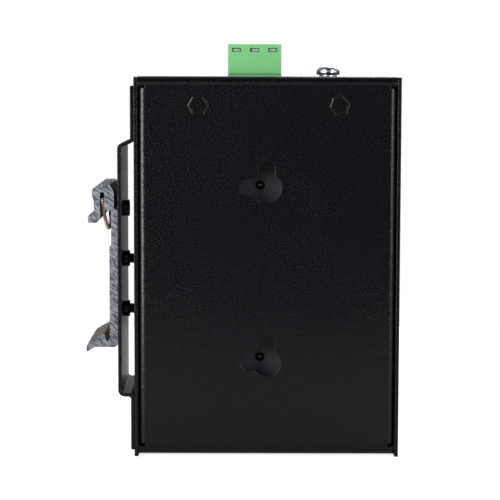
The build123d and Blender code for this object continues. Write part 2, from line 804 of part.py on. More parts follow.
# Header pins: square wire, straight up into the shroud and bent over through the board
with BuildPart() as header_pins:
    for x in pole_xs:
        with BuildSketch(Plane.YZ.offset(x - pin_size / 2)):
            with BuildLine():
                FilletPolyline(
                    (y_solder - pin_stub, pin_row_z - pin_size / 2),
                    (header_y + pin_size / 2, pin_row_z - pin_size / 2),
                    (header_y + pin_size / 2, header_bottom + header_floor + pin_run),
                    (header_y - pin_size / 2, header_bottom + header_floor + pin_run),
                    (header_y - pin_size / 2, pin_row_z + pin_size / 2),
                    (y_solder - pin_stub, pin_row_z + pin_size / 2),
                    radius=[0, pin_bend, 0, 0, 0, 0], close=True,
                )
            make_face()
        extrude(amount=pin_size)
header_pins.part.label = "header_pins"
export_step(header_pins.part, "parts/header_pins.step")

# Terminal plug: a tongue in the header and a head with wire entries above, screws to the far side
tongue_bottom = plug_shoulder - plug_insert
plug_near = header_y - header_height / 2 - plug_drop
plug_middle = plug_near + plug_height / 2
cage_bottom = plug_shoulder + cage_lift
cage_y = header_y + cage_shift
plate_y = cage_y + cage_depth / 2 - cage_wall - fork_blade
screw_z = cage_bottom + cage_height / 2
with BuildPart() as terminal_plug:
    with BuildSketch(Plane.XY.offset(tongue_bottom)):
        with Locations((x_mid + header_x, header_y)):
            Rectangle(cavity_width - 2 * plug_play, cavity_height - 2 * plug_play)
    extrude(amount=plug_insert)
    with BuildSketch(Plane.XY.offset(plug_shoulder)):
        with Locations((x_mid + header_x, plug_middle)):
            Rectangle(plug_width, plug_height)
    extrude(amount=plug_head)
    with BuildSketch(Plane.XY.offset(tongue_bottom)):
        with Locations(*[(x, header_y) for x in pole_xs]):
            Rectangle(fork_width + 2 * cage_shift, pin_size + 2 * fork_width)
    extrude(amount=cage_bottom - tongue_bottom, mode=Mode.SUBTRACT)
    with BuildSketch(Plane.XY.offset(cage_bottom)):
        with Locations(*[(x, cage_y) for x in pole_xs]):
            Rectangle(cage_width + slip, cage_depth + slip)
    extrude(amount=cage_height, mode=Mode.SUBTRACT)
    with BuildSketch(Plane.XY.offset(plug_top)):
        with Locations(*[(x, cage_y) for x in pole_xs]):
            RectangleRounded(entry_width, entry_height, entry_corner)
    extrude(amount=cage_bottom - plug_top, mode=Mode.SUBTRACT)
    with BuildSketch(Plane.XZ.offset(-plug_near - plug_height)):
        with Locations(*[(x, screw_z) for x in pole_xs]):
            Circle(driver_diameter / 2)
    extrude(amount=plug_near + plug_height - cage_y, mode=Mode.SUBTRACT)
    with BuildSketch(Plane.XZ.offset(-plug_near)):
        with Locations(*[(x, plug_top - window_inset - window_height / 2) for x in pole_xs]):
            Rectangle(window_width, window_height)
    extrude(amount=-window_depth, mode=Mode.SUBTRACT)
terminal_plug.part.label = "terminal_plug"
export_step(terminal_plug.part, "parts/terminal_plug.step")

# Plug contacts: a fork on each pin, and a plate running up into the clamp cage
with BuildPart() as plug_contacts:
    with BuildSketch(Plane.XY.offset(tongue_bottom + fork_start)):
        for x in pole_xs:
            with Locations(*[(x, header_y + side * (pin_size + fork_blade) / 2) for side in (-1, 1)]):
                Rectangle(fork_width, fork_blade)
    extrude(amount=cage_bottom - tongue_bottom - fork_start)
    bridge_y = header_y - pin_size / 2 - fork_blade
    with BuildSketch(Plane.XY.offset(cage_bottom - fork_blade)):
        with Locations(*[(x, bridge_y) for x in pole_xs]):
            Rectangle(fork_width, plate_y + fork_blade - bridge_y, align=(Align.CENTER, Align.MIN))
    extrude(amount=fork_blade)
    with BuildSketch(Plane.XY.offset(cage_bottom - fork_blade)):
        with Locations(*[(x, plate_y) for x in pole_xs]):
            Rectangle(fork_width, fork_blade, align=(Align.CENTER, Align.MIN))
    extrude(amount=cage_height)
plug_contacts.part.label = "plug_contacts"
export_step(plug_contacts.part, "parts/plug_contacts.step")

# Clamp cages, open along the wire and threaded for the screw
with BuildPart() as clamp_cages:
    with BuildSketch(Plane.XY.offset(cage_bottom)):
        with Locations(*[(x, cage_y) for x in pole_xs]):
            Rectangle(cage_width, cage_depth)
            Rectangle(
                cage_width - 2 * cage_wall, cage_depth - 2 * cage_wall, mode=Mode.SUBTRACT
            )
    extrude(amount=cage_height)
    with BuildSketch(Plane.XZ.offset(-cage_y)):
        with Locations(*[(x, screw_z) for x in pole_xs]):
            Circle(clamp_screw_diameter / 2 + thread_play)
    extrude(amount=-cage_depth, mode=Mode.SUBTRACT)
clamp_cages.part.label = "clamp_cages"
export_step(clamp_cages.part, "parts/clamp_cages.step")

# Clamp screws, slotted, sunk in their wells with their tips on the contact plates
screw_head_y = plug_near + plug_height - clamp_screw_sink
with BuildPart() as clamp_screws:
    with BuildSketch(Plane.XZ.offset(-screw_head_y)):
        with Locations(*[(x, screw_z) for x in pole_xs]):
            Circle(clamp_screw_head / 2)
    extrude(amount=clamp_screw_head / 2)
    with BuildSketch(Plane.XZ.offset(-screw_head_y)):
        with Locations(*[(x, screw_z) for x in pole_xs]):
            Circle(clamp_screw_diameter / 2)
    extrude(amount=screw_head_y - plate_y - fork_blade)
    with BuildSketch(Plane.XZ.offset(-screw_head_y)):
        with Locations(*[(x, screw_z) for x in pole_xs]):
            Rectangle(clamp_screw_head, cross_width)
    extrude(amount=cross_depth, mode=Mode.SUBTRACT)
clamp_screws.part.label = "clamp_screws"
export_step(clamp_screws.part, "parts/clamp_screws.step")

# Jacks: plastic housing with the stepped socket, sheet shield over it, eight contact wires
housing_width = jack_width - 2 * jack_skin
housing_height = jack_height - jack_skin
housing_depth = jack_depth - jack_skin
socket_roof = socket_floor + socket_height
lamp_y = housing_height - lamp_inset - lamp_height / 2
lamp_z_offset = housing_width / 2 - lamp_inset - lamp_width / 2


def jack_plane(z):
    """Face of the jack at height z: X along the object's Z, Y up from the board, Z inwards."""
    return Plane(origin=(jack_face_x, y_board, z), x_dir=(0, 0, 1), z_dir=(-1, 0, 0))


def jack_housing(face):
    """Plastic body with the plug cavity, the two latch steps, the lamp pockets and two pegs."""
    with BuildPart() as housing:
        with BuildSketch(face):
            Rectangle(housing_width, housing_height, align=(Align.CENTER, Align.MIN))
        extrude(amount=housing_depth)
        with BuildSketch(face):
            with Locations((0, socket_floor)):
                Rectangle(socket_width, socket_height, align=(Align.CENTER, Align.MIN))
            floor = socket_floor
            for width, step in zip(latch_widths, latch_steps):
                floor = floor - step
                with Locations((0, floor)):
                    Rectangle(width, 2 * step, align=(Align.CENTER, Align.MIN))
        extrude(amount=socket_depth, mode=Mode.SUBTRACT)
        with BuildSketch(face):
            with Locations((-lamp_z_offset, lamp_y), (lamp_z_offset, lamp_y)):
                Rectangle(lamp_width, lamp_height)
        extrude(amount=lamp_depth, mode=Mode.SUBTRACT)
        with BuildSketch(Plane.XZ.offset(-y_board)):
            with Locations(*[(peg_x, face.origin.Z + side * peg_pitch / 2) for side in (-1, 1)]):
                Circle(peg_diameter / 2)
        extrude(amount=board_thickness)
    return housing.part


def jack_shield(face):
    """Folded skin over the roof, both sides and the rear of the housing."""
    with BuildPart() as shield:
        with BuildSketch(face):
            Rectangle(jack_width, jack_height, align=(Align.CENTER, Align.MIN))
        extrude(amount=jack_depth)
        with BuildSketch(face):
            Rectangle(housing_width, housing_height, align=(Align.CENTER, Align.MIN))
        extrude(amount=housing_depth, mode=Mode.SUBTRACT)
    return shield.part


def jack_contacts(face):
    """Eight wires that run forward under the socket's roof and fold back down into it."""
    z = face.origin.Z
    side = Plane(origin=(jack_face_x, y_board, z), x_dir=(-1, 0, 0), z_dir=(0, 0, -1))
    reach = (contact_count - 1) * contact_pitch / 2
    contact_tip = contact_rear - contact_tip_gap
    with BuildPart() as wires:
        for index in range(contact_count):
            offset_z = reach - index * contact_pitch + contact_wire / 2
            with BuildSketch(side.offset(-offset_z)):
                with BuildLine():
                    Polyline(
                        (contact_rear, socket_roof), (contact_rear, socket_roof - contact_wire),
                        (contact_front + contact_fold, socket_roof - contact_wire),
                        (contact_tip, socket_roof - contact_drop),
                        (contact_tip - contact_tip_cut, socket_roof - contact_drop - contact_wire),
                        (contact_front, socket_roof - contact_wire), (contact_front, socket_roof),
                        close=True,
                    )
                make_face()
            extrude(amount=contact_wire)
    return wires.part


for number, jack_z in enumerate(jack_zs, start=1):
    face = jack_plane(jack_z)
    for name, solid in (
        ("jack_housing", jack_housing(face)),
        ("jack_shield", jack_shield(face)),
        ("jack_contacts", jack_contacts(face)),
    ):
        solid.label = f"{name}_{number}"
        export_step(solid, f"parts/{name}_{number}.step")

with BuildPart() as jack_lamps:
    for jack_z in jack_zs:
        with BuildSketch(jack_plane(jack_z)):
            with Locations((-lamp_z_offset, lamp_y), (lamp_z_offset, lamp_y)):
                Rectangle(lamp_width, lamp_height)
        extrude(amount=lamp_depth)
jack_lamps.part.label = "jack_lamps"
export_step(jack_lamps.part, "parts/jack_lamps.step")

# Power lamp on the board's edge and the clear rod from it through the front wall
with BuildPart() as lamp_rod:
    with Locations(Plane(origin=(x_front, y_board + lamp_lift, lamp_z), z_dir=(-1, 0, 0))):
        Cylinder(
            lamp_rod_diameter / 2, lamp_rod_length, align=(Align.CENTER, Align.CENTER, Align.MIN)
        )
    fillet(lamp_rod.edges().group_by(Axis.X)[-1], lamp_rod_round)
lamp_rod.part.label = "lamp_rod"
export_step(lamp_rod.part, "parts/lamp_rod.step")

with BuildPart() as power_lamp:
    with Locations((x_front - lamp_rod_length, y_board, lamp_z)):
        Box(
            lamp_body, lamp_lift + lamp_rod_diameter / 2, lamp_body,
            align=(Align.MAX, Align.MIN, Align.CENTER),
        )
    fillet(power_lamp.edges().filter_by(Axis.X).group_by(Axis.Y)[-1], lamp_body_round)
power_lamp.part.label = "power_lamp"
export_step(power_lamp.part, "parts/power_lamp.step")


def on_board(places, size):
    """Blocks standing on the board at the places, with their free edges broken."""
    width, height, length = size
    with BuildPart() as blocks:
        with Locations(*[(x_mid + x, y_board, z) for x, z in places]):
            Box(width, height, length, align=(Align.CENTER, Align.MIN, Align.CENTER))
        chamfer(blocks.faces().group_by(Axis.Y)[-1].edges(), part_edge)
    return blocks.part


board_parts = {
    "line_transformers": ([(transformer_x, z) for z in jack_zs], transformer_size),
    "switch_chip": ([switch_chip_place], switch_chip_size),
    "memory_chip": ([memory_chip_place], memory_chip_size),
    "converter_chip": ([converter_chip_place], converter_chip_size),
    "supply_inductor": ([inductor_place], inductor_size),
    "input_fuse": ([fuse_place], fuse_size),
    "input_choke": ([choke_place], choke_size),
    "surge_diode": ([surge_diode_place], surge_diode_size),
}
for name, (places, size) in board_parts.items():
    solid = on_board(places, size)
    solid.label = name
    export_step(solid, f"parts/{name}.step")

# Crystal: a flat can with round ends
crystal_width, crystal_height, crystal_length = crystal_size
with BuildPart() as crystal:
    with BuildSketch(Plane.XZ.offset(-y_board)):
        with Locations((x_mid + crystal_place[0], crystal_place[1])):
            SlotOverall(crystal_width, crystal_length)
    extrude(amount=-crystal_height)
crystal.part.label = "crystal"
export_step(crystal.part, "parts/crystal.step")

# Supply capacitors: round cans with a rolled groove near the board
can_radius = capacitor_diameter / 2
with BuildPart() as capacitors:
    for x, z in capacitor_places:
        with BuildSketch(Plane(origin=(x_mid + x, y_board, z), x_dir=(1, 0, 0), z_dir=(0, 0, 1))):
            with BuildLine():
                FilletPolyline(
                    (0, 0), (can_radius, 0), (can_radius, capacitor_groove),
                    (can_radius - capacitor_groove_depth, capacitor_groove + capacitor_groove_depth),
                    (can_radius, capacitor_groove + 2 * capacitor_groove_depth),
                    (can_radius, capacitor_height), (0, capacitor_height),
                    radius=[0, 0, 0, 0, 0, capacitor_round, 0], close=True,
                )
            make_face()
        revolve(axis=Axis((x_mid + x, 0, z), (0, 1, 0)))
capacitors.part.label = "capacitors"
export_step(capacitors.part, "parts/capacitors.step")
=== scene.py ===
"""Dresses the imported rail-mount ethernet switch: a finish for every node, and threads, a real coil,
a split washer and other small forms that the solids leave plain."""

import math

import bpy
import numpy as np
from bpy.props import FloatProperty, FloatVectorProperty, PointerProperty
from mathutils import Matrix, Vector


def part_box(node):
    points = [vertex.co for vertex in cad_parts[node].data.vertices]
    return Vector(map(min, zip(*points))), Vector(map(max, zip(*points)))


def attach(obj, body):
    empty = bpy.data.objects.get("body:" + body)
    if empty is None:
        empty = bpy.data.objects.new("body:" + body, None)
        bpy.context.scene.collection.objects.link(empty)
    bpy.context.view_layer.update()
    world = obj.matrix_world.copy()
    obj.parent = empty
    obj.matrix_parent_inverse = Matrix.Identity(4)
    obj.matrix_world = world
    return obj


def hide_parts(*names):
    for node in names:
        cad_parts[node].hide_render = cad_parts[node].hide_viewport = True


bl_info = {
    "name": "Rail-mount ethernet switch",
    "version": (1, 0, 0),
    "blender": (4, 5, 0),
    "location": "3D View > Sidebar > Switch",
    "description": "Finishes and small forms of a sheet-metal ethernet switch",
    "category": "Object",
}

MM = 0.001
# Maps a value from one span to another, clamped: value, from low and high, to low and high.
MAP = "ShaderNodeMapRange"
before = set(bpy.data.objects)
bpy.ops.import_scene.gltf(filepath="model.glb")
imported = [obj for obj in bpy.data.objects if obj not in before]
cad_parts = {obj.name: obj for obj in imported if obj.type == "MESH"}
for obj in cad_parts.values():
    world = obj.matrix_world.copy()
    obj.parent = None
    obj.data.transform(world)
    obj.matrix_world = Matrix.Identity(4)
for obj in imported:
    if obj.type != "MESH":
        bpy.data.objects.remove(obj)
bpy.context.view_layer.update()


def linear(hex_colour):
    """Linear red, green and blue of an sRGB hex colour."""
    parts = [int(hex_colour[i:i + 2], 16) / 255 for i in (1, 3, 5)]
    return tuple(p / 12.92 if p <= 0.04045 else ((p + 0.055) / 1.055) ** 2.4 for p in parts)


def colour_property(name, description, hex_colour):
    """A colour that a user may change, kept linear as Blender wants it."""
    return FloatVectorProperty(
        name=name, description=description, subtype="COLOR", size=3, min=0, max=1,
        default=linear(hex_colour),
    )


def length_property(name, description, millimetres):
    """A length that a user may change, in metres inside and drawn in the scene's unit."""
    return FloatProperty(
        name=name, description=description, unit="LENGTH", min=0, precision=5,
        default=millimetres * MM,
    )


def power_property(name, description, watts):
    """A lamp's power that a user may change."""
    return FloatProperty(name=name, description=description, unit="POWER", default=watts)


def strength_property(name, description, strength):
    """A brightness that a user may change, where 1 is the white background."""
    return FloatProperty(name=name, description=description, min=0, default=strength)


class CoatSettings(bpy.types.PropertyGroup):
    """Powder coat of the two shells and the rail bracket."""

    colour: colour_property("Coat colour", "Body colour of the powder coat", "#0a0a0e")
    grain: length_property("Grain", "Width of one grain of the fine texture, drawn coarse", 0.5)
    peel: length_property("Peel", "Width of one wave of the coat's orange peel", 2.6)
    edge: length_property("Edge round", "Radius that the coat leaves on a sheared edge", 0.5)
    height: length_property("Grain height", "Height of the fine texture", 0.042)


class ClipSettings(bpy.types.PropertyGroup):
    """Aluminium extrusion that grips the rail."""

    colour: colour_property("Sawn aluminium", "Colour of the freshly sawn ends", "#8e929b")
    skin: colour_property("Extruded aluminium", "Colour of the dull drawn skin", "#8b8680")
    cut: length_property("Saw mark", "Distance between two marks of the saw", 0.34)
    spring_wire: length_property("Spring wire", "Diameter of the spring's wire", 0.24)
    spring_coil: length_property("Spring coil", "Outer diameter of the spring's coil", 1.0)
    spring_colour: colour_property("Spring colour", "Straw-coloured spring steel", "#e2ccb8")


class FastenerSettings(bpy.types.PropertyGroup):
    """Machine screws, M3 coarse, with crossed recesses."""

    pitch: length_property("Thread pitch", "Distance between two crests of the M3 thread", 0.5)
    depth: length_property("Thread depth", "Height of the thread from root to crest", 0.3)
    black: colour_property("Black zinc", "Colour of the black passivated screws", "#26272a")
    bright: colour_property("Bright zinc", "Colour of the blue passivated earth screw", "#ccd4da")


class TerminalSettings(bpy.types.PropertyGroup):
    """Pluggable screw terminal in green polyamide."""

    colour: colour_property("Terminal colour", "Green of the moulded polyamide", "#79c67f")
    texture: length_property("Mould texture", "Width of one spark-eroded pit, drawn coarse", 0.25)


class StageSettings(bpy.types.PropertyGroup):
    """Floor, lamps and camera."""

    focal: FloatProperty(
        name="Focal length", description="Lens in millimetres on a 36 mm wide sensor",
        default=127.15, min=1, unit="CAMERA",
    )
    key: power_property("Key lamp", "Power of the left lamp", 3.9)
    fill: power_property("Fill lamp", "Power of the right lamp", 0.9)
    back: power_property("Back lamp", "Power of the lamp behind", 1.6)
    left_panel: strength_property(
        "Left panel", "Brightness of the left screen in reflections", 1.7,
    )
    right_panel: strength_property(
        "Right panel", "Brightness of the right screen in reflections", 1.6,
    )
    ambient: strength_property("Surroundings", "Strength of the light from all round", 0.42)


def add_node(tree, kind, inputs=(), **settings):
    """Adds a node, sets its settings, and fills its inputs with values or other nodes' outputs.

    The inputs are a tuple in the order of the node's sockets, or a dictionary by name or number.
    """
    made = tree.nodes.new(kind)
    for key, value in settings.items():
        setattr(made, key, value)
    for key, value in inputs.items() if isinstance(inputs, dict) else enumerate(inputs):
        if isinstance(value, bpy.types.NodeSocket):
            tree.links.new(value, made.inputs[key])
        else:
            made.inputs[key].default_value = value
    return made


def new_material(name, colour, **values):
    """A material with one Principled shader, and its tree, shader and object coordinates."""
    material = bpy.data.materials.new(name)
    material.use_nodes = True
    tree = material.node_tree
    tree.nodes.clear()
    inputs = {"Base Color": (*colour, 1.0)}
    for key, value in values.items():
        inputs[key.replace("_", " ").title().replace("Ior", "IOR")] = value
    shader = add_node(tree, "ShaderNodeBsdfPrincipled", inputs)
    add_node(tree, "ShaderNodeOutputMaterial", {"Surface": shader.outputs[0]})
    place = add_node(tree, "ShaderNodeTexCoord").outputs["Object"]
    return material, tree, shader, place


def tones(colour, dark, light):
    """The two colour inputs of a mix node: the colour times dark, and the colour times light."""
    return {6: (*[c * dark for c in colour], 1.0), 7: (*[min(c * light, 1.0) for c in colour], 1.0)}


def powder_coat(settings):
    """Baked polyester powder coat with a fine sand texture: black, half matt, with soft glints.

    The gloss changes from grain to grain, more so in patches. A soft orange peel bends what the
    coat mirrors, and the round edge that it leaves on a sheared sheet catches the light.
    """
    patch = 22 * MM
    material, tree, shader, place = new_material(
        "powder_coat_black", settings.colour, roughness=0.27, ior=1.43,
    )
    grain = add_node(
        tree, "ShaderNodeTexNoise",
        {"Vector": place, "Scale": 1 / settings.grain, "Detail": 3.0, "Roughness": 0.6},
    ).outputs[0]
    peel = add_node(
        tree, "ShaderNodeTexNoise", {"Vector": place, "Scale": 1 / settings.peel, "Detail": 1.0},
    ).outputs[0]
    cloud = add_node(
        tree, "ShaderNodeTexNoise", {"Vector": place, "Scale": 1 / patch, "Detail": 2.0},
    ).outputs[0]
    rounded = add_node(tree, "ShaderNodeBevel", {"Radius": settings.edge}, samples=4)
    soft = add_node(
        tree, "ShaderNodeBump",
        {
            "Height": peel, "Distance": settings.height * 3, "Strength": 0.35,
            "Normal": rounded.outputs[0],
        },
    )
    fine = add_node(
        tree, "ShaderNodeBump",
        {"Height": grain, "Distance": settings.height, "Strength": 1.0, "Normal": soft.outputs[0]},
    )
    tree.links.new(fine.outputs[0], shader.inputs["Normal"])
    patchy = add_node(tree, MAP, (cloud, 0.35, 0.65, 0.35, 1)).outputs[0]
    glints = add_node(tree, MAP, (grain, 0.4, 0.66, 0.16, 0.35)).outputs[0]
    gloss = add_node(tree, "ShaderNodeMix", {0: patchy, 2: 0.22, 3: glints}, data_type="FLOAT")
    tree.links.new(gloss.outputs[0], shader.inputs["Roughness"])
    shade = add_node(tree, MAP, (grain, 0.35, 0.7, 0, 1)).outputs[0]
    body = add_node(
        tree, "ShaderNodeMix", {0: shade, **tones(settings.colour, 0.85, 1.3)}, data_type="RGBA",
    )
    tree.links.new(body.outputs[2], shader.inputs["Base Color"])
    return material


def sawn_aluminium(settings):
    """Mill-finish aluminium extrusion: smooth die-drawn skin, and ends left streaked by the saw.

    The ends are where the surface looks along Y. Their streaks run in two directions that cross
    at a small angle. The skin's lines run along the extrusion.
    """
    die_line, relief = 0.3 * MM, 0.04 * MM
    material, tree, shader, place = new_material(
        "aluminium_extrusion", settings.colour, metallic=1.0, roughness=0.4,
    )
    facing = add_node(tree, "ShaderNodeTexCoord").outputs["Normal"]
    across = add_node(tree, "ShaderNodeSeparateXYZ", (facing,)).outputs["Y"]
    size = add_node(tree, "ShaderNodeMath", (across,), operation="ABSOLUTE").outputs[0]
    is_end = add_node(tree, MAP, (size, 0.9, 0.95, 0, 1)).outputs[0]
    streaks = []
    for turn, length in ((32, 9.0), (50, 4.0)):
        turned = add_node(
            tree, "ShaderNodeMapping",
            {"Vector": place, "Rotation": (0, math.radians(turn), 0), "Scale": (length, 1, 1)},
            vector_type="TEXTURE",
        )
        streaks.append(
            add_node(
                tree, "ShaderNodeTexNoise",
                {"Vector": turned.outputs[0], "Scale": 1 / settings.cut, "Detail": 2.0},
            ).outputs[0]
        )
    saw = add_node(tree, "ShaderNodeMath", tuple(streaks), operation="MAXIMUM").outputs[0]
    drawn = add_node(tree, "ShaderNodeMapping", {"Vector": place, "Scale": (1, 0.02, 1)})
    lines = add_node(
        tree, "ShaderNodeTexNoise",
        {"Vector": drawn.outputs[0], "Scale": 1 / die_line, "Detail": 2.0},
    ).outputs[0]
    pattern = add_node(
        tree, "ShaderNodeMix", {0: is_end, 2: lines, 3: saw}, data_type="FLOAT",
    ).outputs[0]
    bright = add_node(tree, MAP, (saw, 0.46, 0.68, 0, 1)).outputs[0]
    dull = add_node(tree, MAP, (lines, 0.35, 0.65, 0, 1)).outputs[0]
    sawn, skin = (
        add_node(tree, "ShaderNodeMix", {0: factor, **pair}, data_type="RGBA").outputs[2]
        for factor, pair in (
            (bright, tones(settings.colour, 0.3, 1.5)), (dull, tones(settings.skin, 0.9, 1.08)),
        )
    )
    colour = add_node(tree, "ShaderNodeMix", {0: is_end, 6: skin, 7: sawn}, data_type="RGBA")
    tree.links.new(colour.outputs[2], shader.inputs["Base Color"])
    rough = add_node(tree, MAP, (pattern, 0.35, 0.7, 0.62, 0.4)).outputs[0]
    tree.links.new(rough, shader.inputs["Roughness"])
    depth = add_node(tree, MAP, (is_end, 0, 1, 0.15, 0.8)).outputs[0]
    bump = add_node(
        tree, "ShaderNodeBump", {"Height": pattern, "Distance": relief, "Strength": depth},
    )
    tree.links.new(bump.outputs[0], shader.inputs["Normal"])
    return material


def moulded(name, colour, texture, roughness=0.45, depth=0.01 * MM, **values):
    """Injection-moulded plastic with an even, spark-eroded texture and slight shade changes."""
    flow_mark = 7 * MM
    material, tree, shader, place = new_material(name, colour, roughness=roughness, **values)
    pits = add_node(
        tree, "ShaderNodeTexNoise", {"Vector": place, "Scale": 1 / texture, "Detail": 2.0},
    ).outputs[0]
    flow = add_node(
        tree, "ShaderNodeTexNoise", {"Vector": place, "Scale": 1 / flow_mark, "Detail": 1.0},
    ).outputs[0]
    shade = add_node(tree, MAP, (flow, 0.3, 0.7, 0, 1)).outputs[0]
    body = add_node(
        tree, "ShaderNodeMix", {0: shade, **tones(colour, 0.94, 1.04)}, data_type="RGBA",
    )
    tree.links.new(body.outputs[2], shader.inputs["Base Color"])
    rough = add_node(tree, MAP, (pits, 0.3, 0.7, roughness - 0.05, roughness + 0.07)).outputs[0]
    tree.links.new(rough, shader.inputs["Roughness"])
    bump = add_node(tree, "ShaderNodeBump", {"Height": pits, "Distance": depth, "Strength": 0.5})
    tree.links.new(bump.outputs[0], shader.inputs["Normal"])
    return material


def plated(name, colour, roughness, mottle=0.8):
    """Thin bright plating or drawn metal: even, with faint mottling and fine rub marks.

    The width of a mottle is in millimetres.
    """
    relief = 0.006 * MM
    material, tree, shader, place = new_material(name, colour, metallic=1.0, roughness=roughness)
    patches = add_node(
        tree, "ShaderNodeTexNoise", {"Vector": place, "Scale": 1 / (mottle * MM), "Detail": 3.0},
    ).outputs[0]
    shade = add_node(tree, MAP, (patches, 0.3, 0.7, 0, 1)).outputs[0]
    body = add_node(
        tree, "ShaderNodeMix", {0: shade, **tones(colour, 0.82, 1.06)}, data_type="RGBA",
    )
    tree.links.new(body.outputs[2], shader.inputs["Base Color"])
    rough = add_node(
        tree, MAP, (patches, 0.3, 0.7, roughness * 0.75, roughness * 1.3),
    ).outputs[0]
    tree.links.new(rough, shader.inputs["Roughness"])
    bump = add_node(
        tree, "ShaderNodeBump", {"Height": patches, "Distance": relief, "Strength": 0.5},
    )
    tree.links.new(bump.outputs[0], shader.inputs["Normal"])
    return material


def dress(material, *nodes):
    """Puts the material on every slot of the named CAD nodes."""
    for name in nodes:
        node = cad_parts[name]
        if not node.material_slots:
            node.data.materials.append(material)
        for place in node.material_slots:
            place.material = material


def new_piece(name, points, faces, material, replaced=(), smooth=True):
    """A mesh piece of the object, which rides with the body and stands for the replaced nodes."""
    mesh = bpy.data.meshes.new(name)
    mesh.from_pydata(points.tolist(), [], faces)
    mesh.materials.append(material)
    mesh.polygons.foreach_set("use_smooth", [smooth] * len(mesh.polygons))
    mesh.update()
    piece = bpy.data.objects.new(name, mesh)
    bpy.context.scene.collection.objects.link(piece)
    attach(piece, "root")
    if replaced:
        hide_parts(*replaced)
    return piece


def grid_faces(rows, columns):
    """Quads between rows of points, each row a closed ring, outward where the rows run upwards."""
    row, column = np.meshgrid(np.arange(rows - 1), np.arange(columns), indexing="ij")
    beside = (column + 1) % columns
    low, high = row * columns, (row + 1) * columns
    quads = np.stack([low + column, low + beside, high + beside, high + column], axis=-1)
    return quads.reshape(-1, 4).tolist()


def capped_tube(rings):
    """Points and faces of rings of shape (rows, columns, 3), closed by a fan at each end."""
    rows, columns, _ = rings.shape
    points = np.concatenate([rings.reshape(-1, 3), [rings[0].mean(0)], [rings[-1].mean(0)]])
    faces = grid_faces(rows, columns)
    first, last = rows * columns, rows * columns + 1
    base = (rows - 1) * columns
    for index in range(columns):
        beside = (index + 1) % columns
        faces.append([first, beside, index])
        faces.append([last, base + index, base + beside])
    return points, faces


def set_down(rings, origin, out, side):
    """Rings drawn about +Z, moved so that +Z points along out and +X along side."""
    out, side = np.array(out, float), np.array(side, float)
    turn = np.stack([side, np.cross(out, side), out], axis=1)
    return rings @ turn.T + np.array(origin)


def frame_ring(low, high, width, axis=2):
    """Points and faces of a flat rectangular frame between two corners, its opening along the axis.

    A width of nothing gives a plain block.
    """
    first, second = [other for other in range(3) if other != axis]
    if axis == 1:
        first, second = second, first
    loops = []
    for level in (low[axis], high[axis]):
        for inset in (0, width) if width else (0,):
            near, far = low + inset, high - inset
            loop = np.zeros((4, 3))
            loop[:, axis] = level
            loop[:, first] = near[first], far[first], far[first], near[first]
            loop[:, second] = near[second], near[second], far[second], far[second]
            loops.append(loop)
    points = np.concatenate(loops)
    faces = []
    for a in range(4):
        b = (a + 1) % 4
        if width:
            faces += [
                [a, b, b + 8, a + 8], [a + 4, a + 12, b + 12, b + 4],
                [a, a + 4, b + 4, b], [a + 8, b + 8, b + 12, a + 12],
            ]
        else:
            faces.append([a, b, b + 4, a + 4])
    if not width:
        faces += [[3, 2, 1, 0], [4, 5, 6, 7]]
    return points, faces


def joined(parts):
    """Several (points, faces) pairs as one."""
    points, faces, start = [], [], 0
    for part_points, part_faces in parts:
        points.append(part_points)
        faces += [[index + start for index in face] for face in part_faces]
        start += len(part_points)
    return np.concatenate(points), faces


def smoothstep(edge, width, value):
    """0 below edge, 1 above edge + width, with a smooth rise between them."""
    t = np.clip((value - edge) / width, 0, 1)
    return t * t * (3 - 2 * t)


def thread_rings(radius, depth, pitch, start, end, columns):
    """Rings from start up to end, in units of length below the head.

    The radius is radius minus depth times a triangle wave of (height / pitch + angle / turn), and
    the depth fades to nothing over the fade at the top and takes a point's taper at the tip.
    """
    fade, taper, taper_length, rows_per_turn = 0.7 * MM, 0.22, 0.5 * MM, 10
    rows = int((end - start) / pitch * rows_per_turn)
    height = np.linspace(start, end, rows)[:, None]
    angle = np.linspace(0, 2 * math.pi, columns, endpoint=False)[None, :]
    wave = np.abs(((height / pitch + angle / (2 * math.pi)) % 1) * 2 - 1)
    local = depth * smoothstep(start, fade, height)
    tip = 1 - taper * smoothstep(end - taper_length, taper_length, height)
    width = (radius - local * wave) * tip
    return np.stack([width * np.cos(angle), width * np.sin(angle), -height + 0 * angle], axis=-1)


def flat_head_rings(head, shank, length, settings):
    """Countersunk screw about +Z, its face on z = 0: crossed recess, cone, thread and tip.

    The face is a disc of rings whose points sink by the recess depth where both the distance from
    one arm's middle line and the distance from the centre are inside the arm.
    """
    columns, arm, reach, recess = 40, 0.36 * MM, 0.58 * head, 0.95 * MM
    angle = np.linspace(0, 2 * math.pi, columns, endpoint=False)[None, :]
    radii = np.concatenate([np.linspace(0.04, 0.62, 14), [0.72, 0.9, 0.97]])[:, None] * head
    x, y = radii * np.cos(angle), radii * np.sin(angle)
    inside = 1 - smoothstep(arm, 0.14 * MM, np.minimum(np.abs(x), np.abs(y)))
    inside = inside * (1 - smoothstep(reach - 0.3 * MM, 0.34 * MM, radii))
    depth = recess * inside * (1 - 0.45 * radii / head)
    face = np.stack([x, y, -depth], axis=-1)
    rims = np.array([(head, -0.06 * MM), (head, -0.16 * MM), (shank, -(head - shank) - 0.1 * MM)])
    sides = np.stack(
        [rims[:, :1] * np.cos(angle), rims[:, :1] * np.sin(angle), rims[:, 1:] + 0 * angle],
        axis=-1,
    )
    thread = thread_rings(
        shank, settings.depth, settings.pitch, head - shank + 0.15 * MM, length, columns,
    )
    return np.concatenate([face, sides, thread])


